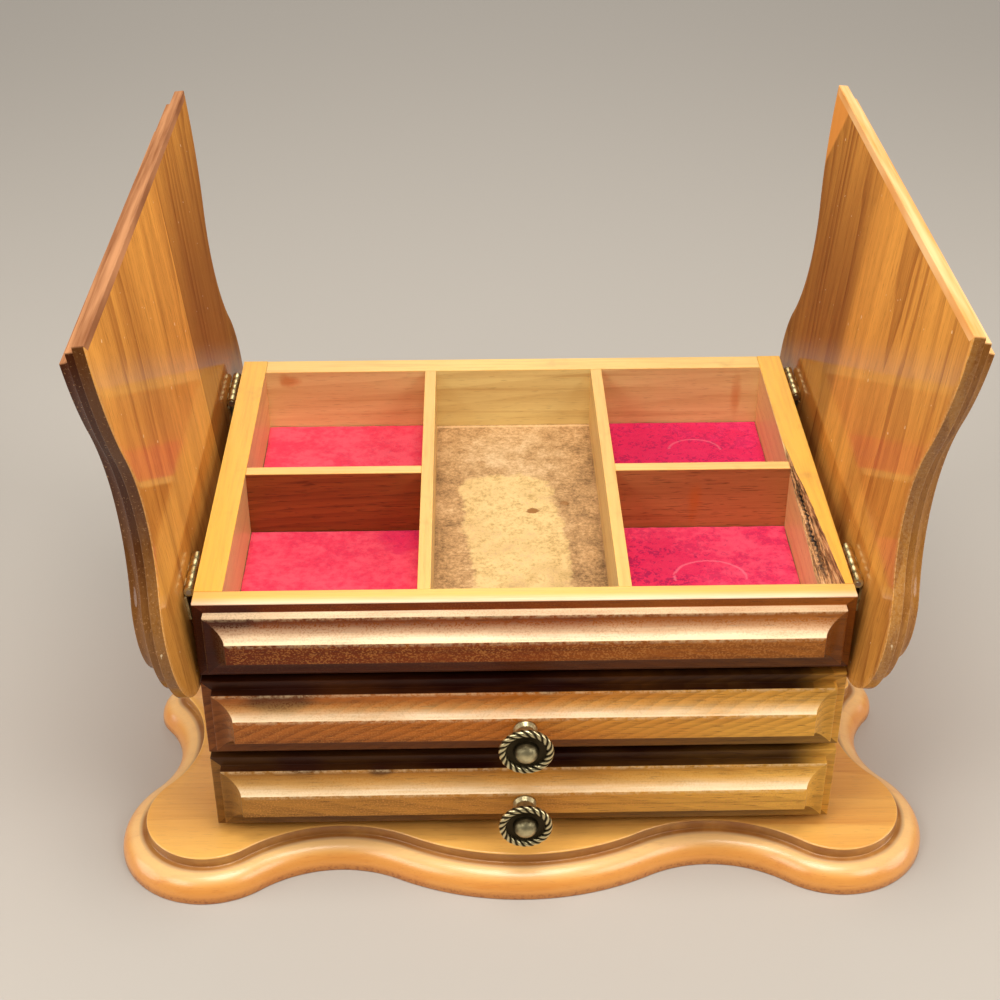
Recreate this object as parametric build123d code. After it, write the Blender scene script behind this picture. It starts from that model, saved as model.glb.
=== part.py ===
from build123d import *
import math
import os

# A jewellery box: a case with an open tray on top and two drawers below it, on a serpentine base,
# under a pair of serpentine lids that are hinged to its sides and stand open.
# Millimetres. X runs from left to right, Y from the front to the back, Z upwards.
# The origin is the centre of the base's underside.

# Serpentine outline, shared by the base and the closed pair of lids
outline_half_width = 169.5  # centre to the outermost point of the corner lobes
outline_half_depth = 119.0  # centre to the foremost point of the lobes and the front bow
bow_radius = 115.0  # convex bow in the middle of the front and of the back
front_dip_radius = 54.0  # hollow between the bow and a corner lobe
lobe_radius = 38.0  # round corner lobe
side_dip_radius = 33.0  # hollow between a corner lobe and the side bow
side_bow_radius = 18.0  # convex bow in the middle of each side
side_bow_inset = 4.8  # how far the side bow stays inside the lobes

# Base and its edge: a step down from the top, a narrow ledge, then a round-over
base_thickness = 15.0
base_step_drop = 4.6
base_ledge_width = 1.6
base_round_radius = 9.4

# Case
case_width = 254.0  # over the two side walls
case_depth = 201.0  # face of the tray front to the outside of the back
wall_thickness = 11.0
case_bottom_thickness = 6.0
shelf_thickness = 6.0
shelf_housing_depth = 3.0  # how far the shelf is let into each side

# Moulded fronts: the fixed tray front and the two drawer fronts
front_thickness = 18.0
tray_front_height = 34.5
drawer_front_height = 36.3
front_gap = 3.2  # between one front and the next, and above the base

# Moulding on the edges of fronts and lids: flat ledge, step, fillet and hollow up to the field
moulding_depth = 9.7
moulding_ledge_width = 4.0
moulding_step_height = 4.0
moulding_fillet_width = 1.2
moulding_cove_width = 7.3
moulding_cove_sag = 1.9

# Tray
tray_depth = 30.0  # rim to the bare tray floor
tray_floor_thickness = 4.0
tray_floor_groove = 4.0
long_divider_thickness = 5.1
long_divider_spacing = 77.5  # centre to centre
cross_divider_thickness = 5.6
lining_thickness = 1.2
lining_gap = 0.3  # between a lining and the walls round it

# Drawers
drawer_side_gap = 0.75  # between a drawer side and the case
drawer_run_gap = 0.3  # between a drawer and the board it runs on
drawer_head_gap = 2.2  # above the drawer sides
drawer_back_gap = 1.5  # behind a closed drawer
drawer_close_gap = 0.3  # between a closed front and the case
drawer_wall_thickness = 8.0
drawer_tongue = 5.0  # how far the drawer sides are let into the front
drawer_bottom_thickness = 3.0
drawer_bottom_lift = 4.0  # underside of the drawer side to its bottom groove
drawer_bottom_groove = 3.0
panel_play = 0.2  # between a panel's edge and the end of its groove

# Knobs
knob_foot_radius = 4.8
knob_neck_radius = 3.9
knob_flare_height = 2.6
knob_neck_height = 9.0
knob_rim_height = 13.0  # field of the front to the centre of the roped rim
knob_rim_radius = 9.3  # knob axis to the centre of the roped rim
knob_rope_radius = 1.45
knob_strands = 20
knob_groove_width = 0.9
knob_groove_length = 6.0
knob_twist = 50.0  # lean of the rope's strands
knob_hollow_radius = 7.6
knob_hollow_height = 12.6
knob_dome_radius = 4.8
knob_dome_rise = 3.4
knob_length = 17.5
knob_bore_depth = 9.0
knob_screw_radius = 2.0
knob_screw_bite = 7.0  # length of screw inside the knob
knob_screw_head_radius = 3.8
knob_screw_head_height = 2.2
knob_screw_hole_gap = 0.3

# Lids
lid_edge_thickness = 4.3  # flat edge below the moulding
lid_rim_gap = 0.3  # closed lid to the rim
lid_meeting_gap = 0.6  # between the two closed lids
lid_open_gap = 0.4  # between the open lid's lower edge and the side of the case

# Hinges
hinge_length = 25.0
hinge_end_inset = 23.0  # middle of a hinge to the end of the rim
knuckle_count = 5
knuckle_radius = 2.0
knuckle_gap = 0.15
barrel_gap = 0.3  # between the barrel and the wood beside it
leaf_thickness = 1.0
leaf_width = 13.0  # hinge axis to the leaf's free edge
leaf_knuckle_gap = 0.6
pin_radius = 1.0
pin_running_gap = 0.05
pin_stand_out = 0.3

# Screws: head radius, shank radius and length
hinge_screw_head_radius = 1.9
hinge_screw_radius = 0.95
hinge_screw_length = 8.0
hinge_screw_spacing = 16.0
base_screw_head_radius = 3.6
base_screw_radius = 1.9
base_screw_length = 32.0
base_screw_spacing = 120.0

# Derived levels and planes
field_inset = moulding_ledge_width + moulding_fillet_width + moulding_cove_width
front_pitch = drawer_front_height + front_gap
lower_drawer_level = base_thickness + front_gap
tray_front_level = lower_drawer_level + 2 * front_pitch
rim_level = tray_front_level + tray_front_height
case_bottom_top = base_thickness + case_bottom_thickness
shelf_top = case_bottom_top + front_pitch
tray_floor_top = rim_level - tray_depth
tray_floor_under = tray_floor_top - tray_floor_thickness

side_face = case_width / 2
inner_face = side_face - wall_thickness
front_face = -case_depth / 2
case_front = front_face + front_thickness
back_face = case_depth / 2
inner_back = back_face - wall_thickness

lid_under = rim_level + lid_rim_gap
hinge_offset = knuckle_radius + barrel_gap
hinge_axis_x = side_face + hinge_offset
hinge_axis_z = lid_under - hinge_offset
lid_overhang = outline_half_width - hinge_axis_x
lid_lean = math.degrees(
    math.atan2(hinge_offset, lid_overhang)
    + math.asin((hinge_offset - lid_open_gap) / math.hypot(hinge_offset, lid_overhang))
)
lid_open_angle = 90 + lid_lean
hinge_places = {
    "front": front_face + moulding_depth + hinge_end_inset,
    "back": back_face - hinge_end_inset,
}


def block(x, y, z):
    """Box between two corners, given as (low, high) along each axis."""
    size = Box(x[1] - x[0], y[1] - y[0], z[1] - z[0])
    return Pos((x[0] + x[1]) / 2, (y[0] + y[1]) / 2, (z[0] + z[1]) / 2) * size


def mirrored(part, side):
    """The part as built for the right side, or its mirror image for the left."""
    return part if side == "right" else mirror(part, about=Plane.YZ)


# Serpentine outline


def heading(start, end):
    return math.degrees(math.atan2(end.Y - start.Y, end.X - start.X))


def touching_centre(first, first_radius, second, second_radius, radius):
    """Centre of a circle that touches two others from outside, on the outer side of both."""
    link = second - first
    reach_first = first_radius + radius
    reach_second = second_radius + radius
    along = (reach_first**2 - reach_second**2 + link.length**2) / (2 * link.length)
    across = math.sqrt(reach_first**2 - along**2)
    step = link.normalized()
    return first + step * along + Vector(step.Y, -step.X) * across


def outline_wire():
    """Closed chain of tangent arcs: one quarter, mirrored twice."""
    bow = Vector(0, bow_radius - outline_half_depth)
    lobe = Vector(outline_half_width - lobe_radius, lobe_radius - outline_half_depth)
    side_bow = Vector(outline_half_width - side_bow_inset - side_bow_radius, 0)
    front_dip = touching_centre(bow, bow_radius, lobe, lobe_radius, front_dip_radius)
    side_dip = touching_centre(lobe, lobe_radius, side_bow, side_bow_radius, side_dip_radius)
    centres = [bow, front_dip, lobe, side_dip, side_bow]
    radii = [bow_radius, front_dip_radius, lobe_radius, side_dip_radius, side_bow_radius]
    quarter = Curve()
    for index, (centre, radius) in enumerate(zip(centres, radii)):
        start = -90 if index == 0 else heading(centre, centres[index - 1])
        end = 0 if index == len(centres) - 1 else heading(centre, centres[index + 1])
        convex = index % 2 == 0
        turn = (end - start) % 360 if convex else -((start - end) % 360)
        quarter += CenterArc(centre, radius, start, turn)
    half = quarter + mirror(quarter, about=Plane.XZ)
    whole = half + mirror(half, about=Plane.YZ)
    return make_face(whole.edges()).face().outer_wire()


outline = outline_wire()
cut_margin = 2.0  # how far the cutters reach past the wood


def edge_cut(waste, level):
    """Sweeps a waste profile, drawn inwards and upwards from the edge, round the outline."""
    at_front = Plane(origin=(0, -outline_half_depth, level), x_dir=(0, 1, 0), z_dir=(1, 0, 0))
    return sweep(at_front * waste, path=Pos(0, 0, level) * outline)


def outline_slab(level, thickness):
    return Pos(0, 0, level) * extrude(make_face(outline), thickness)


# Mouldings


def moulding_waste():
    """Wood taken off an edge above its ledge: x runs inwards from the edge, y up to the field."""
    fillet_end = moulding_ledge_width + moulding_fillet_width
    top = moulding_depth + cut_margin
    stepped = Polyline(
        (field_inset, moulding_depth),
        (field_inset, top),
        (-cut_margin, top),
        (-cut_margin, 0),
        (moulding_ledge_width, 0),
        (moulding_ledge_width, moulding_step_height),
        (fillet_end, moulding_step_height),
    )
    cove = SagittaArc(
        (fillet_end, moulding_step_height), (field_inset, moulding_depth), -moulding_cove_sag
    )
    return make_face(stepped + cove)


def base_waste():
    """Wood taken off the base's edge: x runs inwards from the edge, y up from the round-over's foot."""
    step_inset = base_round_radius + base_ledge_width
    top = base_round_radius + base_step_drop + cut_margin
    round_over = CenterArc((base_round_radius, 0), base_round_radius, 90, 90)
    stepped = Polyline(
        (base_round_radius, base_round_radius),
        (step_inset, base_round_radius),
        (step_inset, top),
        (-cut_margin, top),
        (-cut_margin, 0),
        (0, 0),
    )
    return make_face(stepped + round_over)


def moulded_board(height, bottom):
    """Board across the whole case, moulded on its four front edges, with its face at the front."""
    middle = bottom + height / 2
    board = block((-side_face, side_face), (front_face, case_front), (bottom, bottom + height))
    ledge_plane = front_face + moulding_depth
    waste = moulding_waste()
    for angle, reach, length in (
        (0, side_face, height),
        (90, height / 2, case_width),
        (180, side_face, height),
        (270, height / 2, case_width),
    ):
        corner = Plane(origin=(-reach, ledge_plane, 0), x_dir=(1, 0, 0), z_dir=(0, 0, 1))
        bar = extrude(corner * mirror(waste, about=Plane.XZ), length / 2 + cut_margin, both=True)
        board -= Pos(0, 0, middle) * Rot(0, angle, 0) * bar
    return board


# Screws


def turned(profile):
    """Solid of revolution about Z from points given as radius and height."""
    return revolve(make_face(Plane.XZ * Polyline(*profile, close=True)), Axis.Z)


def countersunk_screw(head_radius, radius, length):
    """Screw that points down -Z, with its head flush at the origin; it also cuts its own seat."""
    head = head_radius - radius
    return turned([(0, 0), (head_radius, 0), (radius, -head), (radius, -length), (0, -length)])


def base_screw_set():
    """Screws driven up through the base into the middle of the two side walls."""
    wall_middle = side_face - wall_thickness / 2
    middle = (case_front + back_face) / 2
    places = [
        Pos(x, middle + step * base_screw_spacing / 2, 0) * Rot(180, 0, 0)
        for x in (-wall_middle, wall_middle)
        for step in (-1, 1)
    ]
    screw = countersunk_screw(base_screw_head_radius, base_screw_radius, base_screw_length)
    return Part() + [place * screw for place in places]


def leaf_screw_set(leaf):
    """The two screws of one leaf, in the hinge's own frame."""
    middle = (knuckle_radius + leaf_knuckle_gap + leaf_width) / 2
    face = hinge_offset - leaf_thickness
    screw = countersunk_screw(hinge_screw_head_radius, hinge_screw_radius, hinge_screw_length)
    if leaf == "lid":
        places = [Pos(middle, step * hinge_screw_spacing / 2, face) * Rot(180, 0, 0) for step in (-1, 1)]
    else:
        places = [Pos(-face, step * hinge_screw_spacing / 2, -middle) * Rot(0, 90, 0) for step in (-1, 1)]
    return Part() + [place * screw for place in places]


# Hinges, in a frame with the pin along Y, the case on the -X side and the closed lid above


def knuckles(leaf):
    """Lengths of barrel that belong to one leaf, as (low, high) along Y: odd ones carry the lid."""
    pitch = hinge_length / knuckle_count
    first = 1 if leaf == "lid" else 0
    spans = []
    for index in range(first, knuckle_count, 2):
        low = index * pitch - hinge_length / 2
        spans.append((low + knuckle_gap / 2, low + pitch - knuckle_gap / 2))
    return spans


def hinge_leaf(leaf):
    """Plate, tongues and knuckles of one leaf, bored for the pin and countersunk."""
    near = knuckle_radius + leaf_knuckle_gap
    skin = (hinge_offset - leaf_thickness, hinge_offset)
    length = (-hinge_length / 2, hinge_length / 2)
    bore = pin_radius + (pin_running_gap if leaf == "lid" else 0)
    part = Part() + block((near, leaf_width), length, skin)
    for span in knuckles(leaf):
        part += block((0, near), span, skin)
        barrel = Cylinder(knuckle_radius, span[1] - span[0], rotation=(90, 0, 0))
        part += Pos(0, (span[0] + span[1]) / 2, 0) * barrel
    if leaf == "case":
        part = Rot(0, 90, 0) * mirror(part, about=Plane.XY)
    part -= Cylinder(bore, 2 * hinge_length, rotation=(90, 0, 0))
    return part - leaf_screw_set(leaf)


def hinge_pin():
    return Cylinder(pin_radius, hinge_length + 2 * pin_stand_out, rotation=(90, 0, 0))


def at_hinge(part, side, place):
    """Moves a hinge part from its own frame to one side of the case."""
    return mirrored(Pos(hinge_axis_x, hinge_places[place], hinge_axis_z) * part, side)


def opened(part, side):
    """Turns what rides on a closed lid about its hinge pins to where the lid stands open."""
    sign = 1 if side == "right" else -1
    axis = Axis((sign * hinge_axis_x, 0, hinge_axis_z), (0, 1, 0))
    return part.rotate(axis, sign * lid_open_angle)


# Lids


def closed_lid():
    """Right half of the serpentine slab, moulded all round and along the edge where the lids meet."""
    thickness = lid_edge_thickness + moulding_depth
    ledge_level = lid_under + lid_edge_thickness
    meeting = lid_meeting_gap / 2
    reach = outline_half_depth + cut_margin
    far = outline_half_width + cut_margin
    half = outline_slab(lid_under, thickness)
    half &= block((meeting, far), (-reach, reach), (lid_under, lid_under + thickness))
    along = Plane(origin=(meeting, 0, ledge_level), x_dir=(1, 0, 0), z_dir=(0, -1, 0))
    straight_cut = extrude(along * moulding_waste(), reach, both=True)
    half -= edge_cut(moulding_waste(), ledge_level) + straight_cut
    for place in hinge_places.values():
        screws = leaf_screw_set("lid")
        half -= Pos(hinge_axis_x, place, hinge_axis_z) * screws
    return half


# Case


def base_plinth():
    foot = base_thickness - base_step_drop - base_round_radius
    base = outline_slab(0, base_thickness) - edge_cut(base_waste(), foot)
    return base - base_screw_set()


def case_side(side):
    """Side wall, grooved for the tray floor and housed for the shelf."""
    wall = block((inner_face, side_face), (case_front, back_face), (base_thickness, rim_level))
    groove_end = inner_back + tray_floor_groove
    wall -= block(
        (inner_face, inner_face + tray_floor_groove),
        (case_front, groove_end),
        (tray_floor_under, tray_floor_top),
    )
    wall -= block(
        (inner_face, inner_face + shelf_housing_depth),
        (case_front, inner_back),
        (shelf_top - shelf_thickness, shelf_top),
    )
    for place in hinge_places.values():
        screws = leaf_screw_set("case")
        wall -= Pos(hinge_axis_x, place, hinge_axis_z) * screws
    return mirrored(wall, side) - base_screw_set()


def case_back():
    back = block((-inner_face, inner_face), (inner_back, back_face), (base_thickness, rim_level))
    groove = block(
        (-inner_face, inner_face),
        (inner_back, inner_back + tray_floor_groove),
        (tray_floor_under, tray_floor_top),
    )
    return back - groove


def case_bottom():
    return block(
        (-inner_face, inner_face), (case_front, inner_back), (base_thickness, case_bottom_top)
    )


def drawer_shelf():
    reach = inner_face + shelf_housing_depth
    return block((-reach, reach), (case_front, inner_back), (shelf_top - shelf_thickness, shelf_top))


def tray_front():
    """Fixed moulded front, rebated behind its lower edge for the tray floor."""
    reach = inner_face + tray_floor_groove
    rebate = block(
        (-reach, reach), (case_front - tray_floor_groove, case_front), (tray_front_level, tray_floor_top)
    )
    return moulded_board(tray_front_height, tray_front_level) - rebate


def tray_floor():
    reach = tray_floor_groove - panel_play
    return block(
        (-inner_face - reach, inner_face + reach),
        (case_front - reach, inner_back + reach),
        (tray_floor_under, tray_floor_top),
    )


divider_face = (long_divider_spacing + long_divider_thickness) / 2
tray_middle = (case_front + inner_back) / 2


def tray_divider(side):
    near = divider_face - long_divider_thickness
    board = block((near, divider_face), (case_front, inner_back), (tray_floor_top, rim_level))
    return mirrored(board, side)


def tray_cross_divider(side):
    half = cross_divider_thickness / 2
    board = block(
        (divider_face, inner_face), (tray_middle - half, tray_middle + half), (tray_floor_top, rim_level)
    )
    return mirrored(board, side)


def tray_lining(side, place):
    """Velvet on the floor of one small compartment."""
    half = cross_divider_thickness / 2
    if place == "front":
        depth = (case_front + lining_gap, tray_middle - half - lining_gap)
    else:
        depth = (tray_middle + half + lining_gap, inner_back - lining_gap)
    width = (divider_face + lining_gap, inner_face - lining_gap)
    lining = block(width, depth, (tray_floor_top, tray_floor_top + lining_thickness))
    return mirrored(lining, side)


# Drawers, built as the lower one; the upper one is the same, one front pitch higher

run_level = case_bottom_top + drawer_run_gap
drawer_opening = front_pitch - shelf_thickness
drawer_box_top = case_bottom_top + drawer_opening - drawer_head_gap
drawer_outside = inner_face - drawer_side_gap
drawer_inside = drawer_outside - drawer_wall_thickness
drawer_front_back = case_front - drawer_close_gap
drawer_back_outside = inner_back - drawer_back_gap
drawer_back_inside = drawer_back_outside - drawer_wall_thickness
drawer_bottom_level = run_level + drawer_bottom_lift
drawer_floor = drawer_bottom_level + drawer_bottom_thickness
knob_level = lower_drawer_level + drawer_front_height / 2
drawer_field = front_face - drawer_close_gap


def bottom_groove():
    """Space that the drawer bottom's groove takes out of the four walls."""
    return block(
        (-drawer_inside - drawer_bottom_groove, drawer_inside + drawer_bottom_groove),
        (drawer_front_back - drawer_bottom_groove, drawer_back_inside + drawer_bottom_groove),
        (drawer_bottom_level, drawer_floor),
    )


def drawer_front():
    """Moulded front, housed for the drawer sides, grooved for the bottom and bored for the knob."""
    board = moulded_board(drawer_front_height, lower_drawer_level)
    board = Pos(0, -drawer_close_gap, 0) * board
    housing = block(
        (drawer_inside, drawer_outside),
        (drawer_front_back - drawer_tongue, drawer_front_back),
        (run_level, drawer_box_top),
    )
    hole = Cylinder(knob_screw_radius + knob_screw_hole_gap, 3 * front_thickness, rotation=(90, 0, 0))
    board -= housing
    board -= mirror(housing, about=Plane.YZ)
    board -= bottom_groove()
    return board - Pos(0, front_face, knob_level) * hole


def drawer_side(side):
    wall = block(
        (drawer_inside, drawer_outside),
        (drawer_front_back - drawer_tongue, drawer_back_outside),
        (run_level, drawer_box_top),
    )
    return mirrored(wall - bottom_groove(), side)


def drawer_back():
    wall = block(
        (-drawer_inside, drawer_inside),
        (drawer_back_inside, drawer_back_outside),
        (run_level, drawer_box_top),
    )
    return wall - bottom_groove()


def drawer_bottom():
    reach = drawer_bottom_groove - panel_play
    return block(
        (-drawer_inside - reach, drawer_inside + reach),
        (drawer_front_back - reach, drawer_back_inside + reach),
        (drawer_bottom_level, drawer_floor),
    )


def drawer_lining():
    return block(
        (-drawer_inside + lining_gap, drawer_inside - lining_gap),
        (drawer_front_back + lining_gap, drawer_back_inside - lining_gap),
        (drawer_floor, drawer_floor + lining_thickness),
    )


def at_knob(part):
    """Stands a part built up the Z axis out of the drawer front's field."""
    return Pos(0, drawer_field, knob_level) * Rot(90, 0, 0) * part


def rope_section():
    """Corners of the rim's eight-sided section, from under its outside round to the hollow."""
    corner = knob_rope_radius / math.cos(math.radians(22.5))
    angles = [math.radians(-112.5 + step * 45) for step in range(7)]
    return [
        (knob_rim_radius + corner * math.cos(angle), knob_rim_height + corner * math.sin(angle))
        for angle in angles
    ]


def drawer_knob():
    """Turned knob with a flared foot, a roped rim, a sunk ring and a domed centre."""
    flare = (knob_foot_radius - knob_neck_radius) / 4
    shoulder = knob_length - knob_dome_rise
    dome_curve = (knob_dome_radius**2 + knob_dome_rise**2) / (2 * knob_dome_rise)
    dome_centre = Vector(0, knob_length - dome_curve)
    dome_start = heading(dome_centre, Vector(knob_dome_radius, shoulder))
    profile = SagittaArc((knob_foot_radius, 0), (knob_neck_radius, knob_flare_height), flare)
    profile += Polyline(
        (knob_neck_radius, knob_flare_height),
        (knob_neck_radius, knob_neck_height),
        *rope_section(),
        (knob_hollow_radius, knob_hollow_height),
        (knob_dome_radius, knob_hollow_height),
        (knob_dome_radius, shoulder),
    )
    profile += CenterArc(dome_centre, dome_curve, dome_start, 90 - dome_start)
    profile += Polyline((0, knob_length), (0, 0), (knob_foot_radius, 0))
    knob = revolve(make_face(Plane.XZ * profile), Axis.Z)
    notch = Box(knob_groove_width, knob_groove_width, knob_groove_length)
    groove = Rot(knob_twist, 0, 0) * Rot(0, 0, 45) * notch
    on_rope = Pos(knob_rim_radius, 0, knob_rim_height) * Rot(0, -45, 0) * Pos(knob_rope_radius, 0, 0)
    knob -= [Rot(0, 0, index * 360 / knob_strands) * on_rope * groove for index in range(knob_strands)]
    return knob - Cylinder(knob_screw_radius, 2 * knob_bore_depth)


def knob_screw():
    """Machine screw from inside the drawer, through the front and into the knob."""
    head = front_thickness + knob_screw_head_height
    return turned(
        [
            (0, knob_screw_bite),
            (knob_screw_radius, knob_screw_bite),
            (knob_screw_radius, -front_thickness),
            (knob_screw_head_radius, -front_thickness),
            (knob_screw_head_radius, -head),
            (0, -head),
        ]
    )


def drawer_pieces():
    return {
        "front": drawer_front(),
        "side_left": drawer_side("left"),
        "side_right": drawer_side("right"),
        "back": drawer_back(),
        "bottom": drawer_bottom(),
        "lining": drawer_lining(),
        "knob": at_knob(drawer_knob()),
        "knob_screw": at_knob(knob_screw()),
    }


# Assembly: one STEP file for each piece

pieces = {
    "base_plinth": base_plinth(),
    "base_screws": base_screw_set(),
    "case_back": case_back(),
    "case_bottom": case_bottom(),
    "drawer_shelf": drawer_shelf(),
    "tray_front": tray_front(),
    "tray_floor": tray_floor(),
}
case_hinge_screws = Part()
lid = closed_lid()
case_leaf = hinge_leaf("case")
lid_leaf = hinge_leaf("lid")
for side in ("left", "right"):
    pieces[f"case_side_{side}"] = case_side(side)
    pieces[f"tray_divider_{side}"] = tray_divider(side)
    pieces[f"tray_cross_divider_{side}"] = tray_cross_divider(side)
    pieces[f"lid_{side}"] = opened(mirrored(lid, side), side)
    lid_screws = Part()
    for place in hinge_places:
        name = f"hinge_{side}_{place}"
        pieces[f"tray_lining_{side}_{place}"] = tray_lining(side, place)
        pieces[f"{name}_case_leaf"] = at_hinge(case_leaf, side, place)
        pieces[f"{name}_pin"] = at_hinge(hinge_pin(), side, place)
        pieces[f"{name}_lid_leaf"] = opened(at_hinge(lid_leaf, side, place), side)
        case_hinge_screws += at_hinge(leaf_screw_set("case"), side, place)
        lid_screws += at_hinge(leaf_screw_set("lid"), side, place)
    pieces[f"lid_{side}_hinge_screws"] = opened(lid_screws, side)
pieces["case_hinge_screws"] = case_hinge_screws
for name, piece in drawer_pieces().items():
    pieces[f"lower_drawer_{name}"] = piece
    pieces[f"upper_drawer_{name}"] = Pos(0, 0, front_pitch) * piece

os.makedirs("parts", exist_ok=True)
for name, piece in pieces.items():
    export_step(piece, f"parts/{name}.step")
print(f"{len(pieces)} pieces, lids open {lid_open_angle:.2f} degrees, rim at {rim_level:.2f} mm")
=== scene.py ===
import math

import bpy
import numpy as np
from mathutils import Matrix, Vector


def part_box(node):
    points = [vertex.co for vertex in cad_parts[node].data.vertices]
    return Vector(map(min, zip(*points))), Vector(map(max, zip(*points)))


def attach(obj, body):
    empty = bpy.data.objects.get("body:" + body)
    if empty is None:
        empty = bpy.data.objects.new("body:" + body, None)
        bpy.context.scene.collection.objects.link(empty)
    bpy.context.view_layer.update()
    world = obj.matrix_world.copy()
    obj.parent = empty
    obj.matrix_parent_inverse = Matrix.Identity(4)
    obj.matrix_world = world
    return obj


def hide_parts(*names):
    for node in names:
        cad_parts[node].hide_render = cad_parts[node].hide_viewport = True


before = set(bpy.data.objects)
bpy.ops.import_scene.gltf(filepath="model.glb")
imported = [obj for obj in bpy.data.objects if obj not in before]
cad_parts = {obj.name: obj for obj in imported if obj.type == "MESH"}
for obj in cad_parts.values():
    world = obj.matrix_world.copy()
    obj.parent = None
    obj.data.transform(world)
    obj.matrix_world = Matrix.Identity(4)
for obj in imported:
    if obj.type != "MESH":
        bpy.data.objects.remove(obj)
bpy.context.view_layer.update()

mm = 0.001
caseWidth, rim = 254.0, 131.7  # the width of the case and the height of its upper edge, in mm
print("frame loaded:", len(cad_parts), "CAD nodes")

# Camera, lamps and floor

camera = dict(place=(-0.0189, -0.6084, 0.5181), pan=0.018, tilt=0.582, roll=0.002, lens=61.07, sensor=36.0)
plainLamp = dict(aim=(0, 0, 0.1), size=0.7, colour=(1.0, 0.97, 0.93))
lamps = {
    "overhead": plainLamp | dict(place=(0.0, -0.2, 1.35), watts=12.0, colour=(1.0, 0.97, 0.92)),
    "left": plainLamp | dict(place=(-0.95, -0.85, 1.2), watts=7.5),
    "right": plainLamp | dict(place=(0.95, -0.85, 1.2), watts=7.5),
    "low left": plainLamp | dict(place=(-1.4, -0.25, 0.55), watts=8.0, aim=(0, 0, 0.2), size=0.9),
    "low right": plainLamp | dict(place=(1.4, -0.25, 0.55), watts=8.0, aim=(0, 0, 0.2), size=0.9),
    "behind": plainLamp | dict(place=(0.0, 1.6, 1.2), watts=6.0, aim=(0, 0, 0.08), size=0.9),
}
studio = dict(
    floorReach=4.0, floorColour=(0.5, 0.46, 0.41), skyColour=(0.88, 0.84, 0.78), skyStrength=0.17,
    backdrop=(0.46, 0.42, 0.37),  # seen by the camera only, it lights nothing
)


def setCamera():
    lens = bpy.data.cameras.new("camera")
    lens.lens = camera["lens"]
    lens.sensor_width = camera["sensor"]
    eye = bpy.data.objects.new("camera", lens)
    turn = Matrix.Rotation(-camera["pan"], 4, "Z") @ Matrix.Rotation(math.pi / 2 - camera["tilt"], 4, "X")
    eye.matrix_world = Matrix.Translation(camera["place"]) @ turn @ Matrix.Rotation(-camera["roll"], 4, "Z")
    bpy.context.scene.collection.objects.link(eye)
    bpy.context.scene.camera = eye
    bpy.context.scene.view_settings.view_transform = "Standard"


def setLamps():
    for name, lamp in lamps.items():
        light = bpy.data.lights.new(name, "AREA")
        light.shape = "DISK"
        light.size = lamp["size"]
        light.energy = lamp["watts"]
        light.color = lamp["colour"]
        stand = bpy.data.objects.new(name, light)
        aim = Vector(lamp["aim"]) - Vector(lamp["place"])
        turn = aim.to_track_quat("-Z", "Y").to_matrix().to_4x4()
        stand.matrix_world = Matrix.Translation(lamp["place"]) @ turn
        bpy.context.scene.collection.objects.link(stand)
    sky = bpy.data.worlds.new("sky")
    sky.use_nodes = True
    tree = sky.node_tree
    glow = tree.nodes["Background"]
    glow.inputs["Color"].default_value = (*studio["skyColour"], 1)
    glow.inputs["Strength"].default_value = studio["skyStrength"]
    backdrop = tree.nodes.new("ShaderNodeBackground")
    backdrop.inputs["Color"].default_value = (*studio["backdrop"], 1)
    blend = tree.nodes.new("ShaderNodeMixShader")
    tree.links.new(tree.nodes.new("ShaderNodeLightPath").outputs["Is Camera Ray"], blend.inputs[0])
    tree.links.new(glow.outputs[0], blend.inputs[1])
    tree.links.new(backdrop.outputs[0], blend.inputs[2])
    tree.links.new(blend.outputs[0], tree.nodes["World Output"].inputs["Surface"])
    bpy.context.scene.world = sky


# Shader maths: a Value wraps a socket, a Finish makes the nodes


def operator(operation, swapped=False):
    def combine(self, *others):
        numbers = (self, *others)
        return self.finish.maths(operation, *(numbers[::-1] if swapped else numbers))

    return combine


class Value:
    def __init__(self, finish, socket):
        self.finish = finish
        self.socket = socket

    __add__ = operator("ADD")
    __radd__ = operator("ADD", swapped=True)
    __sub__ = operator("SUBTRACT")
    __rsub__ = operator("SUBTRACT", swapped=True)
    __mul__ = operator("MULTIPLY")
    __rmul__ = operator("MULTIPLY", swapped=True)
    __truediv__ = operator("DIVIDE")
    __pow__ = operator("POWER")
    __gt__ = operator("GREATER_THAN")
    __lt__ = operator("LESS_THAN")
    __abs__ = operator("ABSOLUTE")
    fraction = operator("FRACT")
    above = operator("MAXIMUM")

    def eased(self, low, high):  # 0 below low, 1 above high, an S between; high may be the smaller
        settings = {"interpolation_type": "SMOOTHSTEP"}
        inputs = {"Value": self, "From Min": low, "From Max": high}
        return self.finish.value("ShaderNodeMapRange", settings, inputs)


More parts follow.
